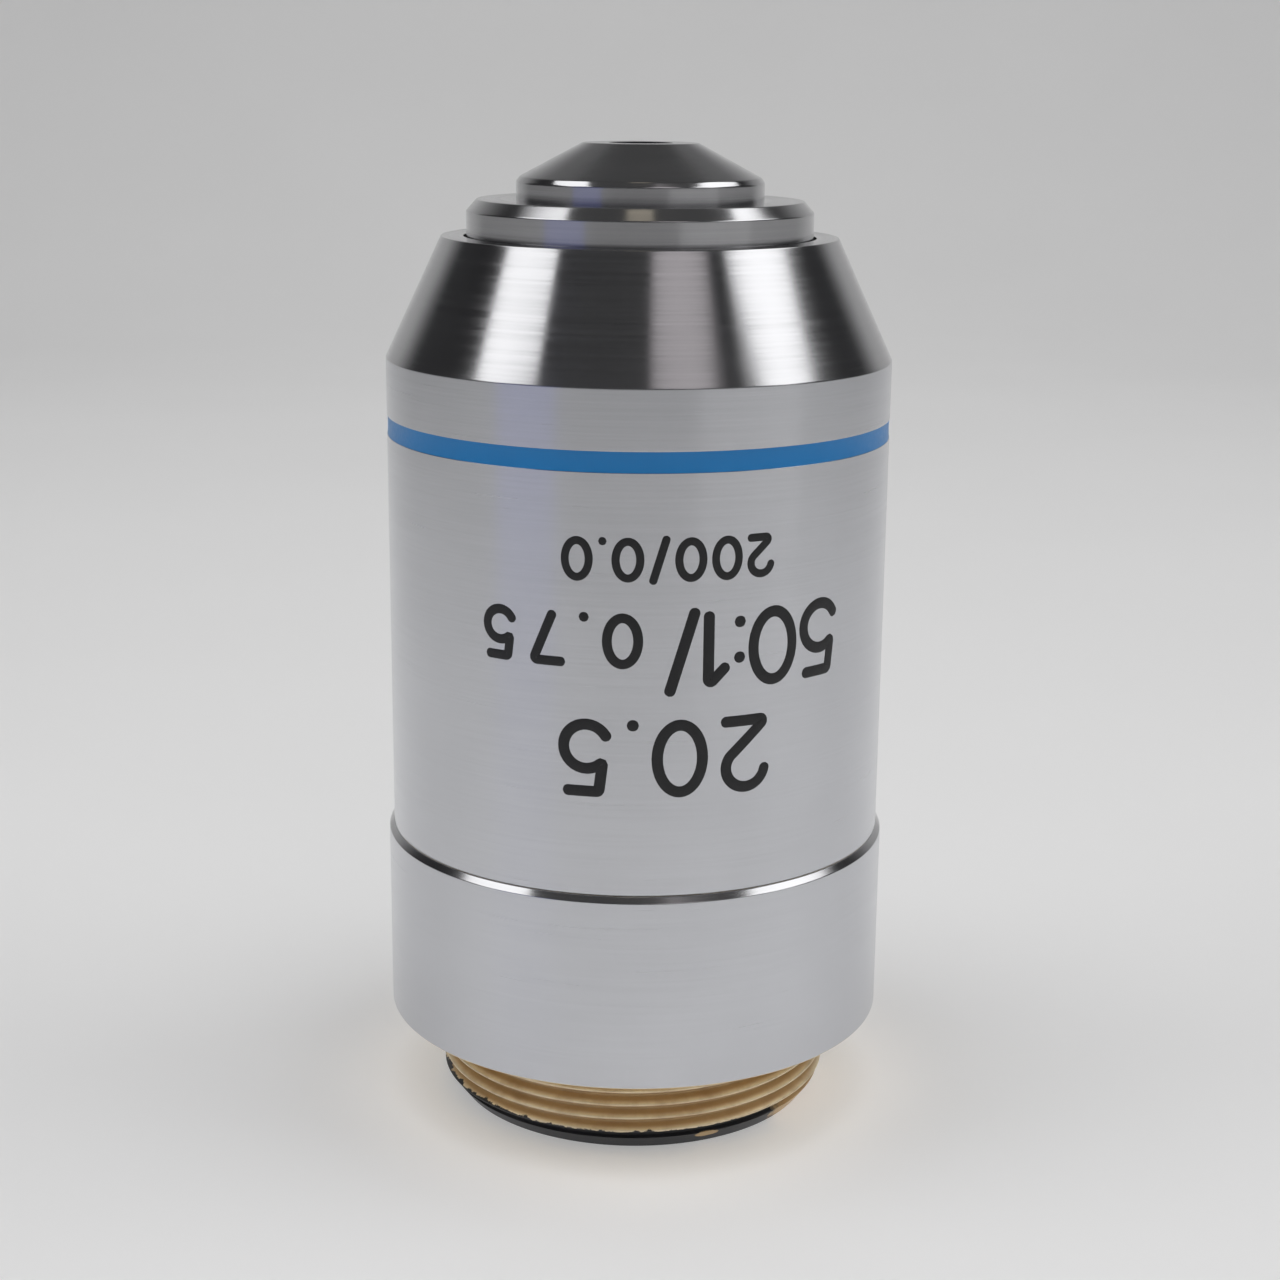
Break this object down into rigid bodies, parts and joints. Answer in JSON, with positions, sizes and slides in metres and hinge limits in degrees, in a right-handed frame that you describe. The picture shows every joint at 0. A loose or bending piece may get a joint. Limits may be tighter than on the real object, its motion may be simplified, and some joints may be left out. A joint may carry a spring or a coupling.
{
  "type": "microscope objective",
  "caption": "Spring-loaded microscope objective: plated sleeve with conical front, blue band, sliding lens barrel with cemented groups, and a standard nosepiece thread.",
  "frame": {"origin": "on the optical axis, in the plane of the mounting shoulder that seats on the nosepiece", "axes": "+Z along the optical axis towards the front lens, so that the part stands on its thread end as in the picture; the guide screw is on the +Y side"},
  "size_m": [0.0256, 0.0256, 0.049],
  "materials": {
    "plated_mount": "turned brass, satin chrome plate on the collar, thread bare with a black-painted end",
    "satin_chrome": "turned brass with satin chrome plate, cone polished along the turning lines",
    "blue_enamel": "glossy enamel in a groove",
    "spring_steel": "drawn spring wire with ground ends",
    "screw_steel": "turned steel",
    "barrel_chrome": "turned brass, plated at the front ring and blackened inside",
    "shim_brass": "rolled brass sheet",
    "nose_chrome": "turned brass with polished chrome plate",
    "blackened_brass": "turned brass, chemically blackened",
    "lens_glass": "polished optical glass with a thin coating",
    "flint_glass": "polished dense optical glass with a thin coating",
    "marking_paint": "black paint in engraved numbers"
  },
  "bodies": {
    "housing": {"mount_body": "plated_mount", "outer_sleeve": "satin_chrome", "colour_band": "blue_enamel", "return_spring": "spring_steel", "guide_screw": "screw_steel"},
    "lens_unit": {"lens_barrel": "barrel_chrome", "parfocal_shim": "shim_brass", "nose_cap": "nose_chrome", "front_lens": "lens_glass", "second_cell": "blackened_brass", "second_lens": "lens_glass", "front_doublet_cell": "blackened_brass", "front_doublet_crown": "lens_glass", "front_doublet_flint": "flint_glass", "middle_doublet_cell": "blackened_brass", "middle_doublet_crown": "lens_glass", "middle_doublet_flint": "flint_glass", "aperture_stop": "blackened_brass", "spacer_tube": "blackened_brass", "rear_cell": "blackened_brass", "rear_crown": "lens_glass", "rear_flint": "flint_glass", "rear_retaining_ring": "blackened_brass"}
  },
  "joints": [
    {"name": "nose_slide", "type": "slide", "parent": "housing", "child": "lens_unit", "axis": [0, 0, -1], "range_m": [0, 0.0025], "stiffness_N_per_m": 600, "springref_m": -0.003, "deforming": ["return_spring"]}
  ]
}
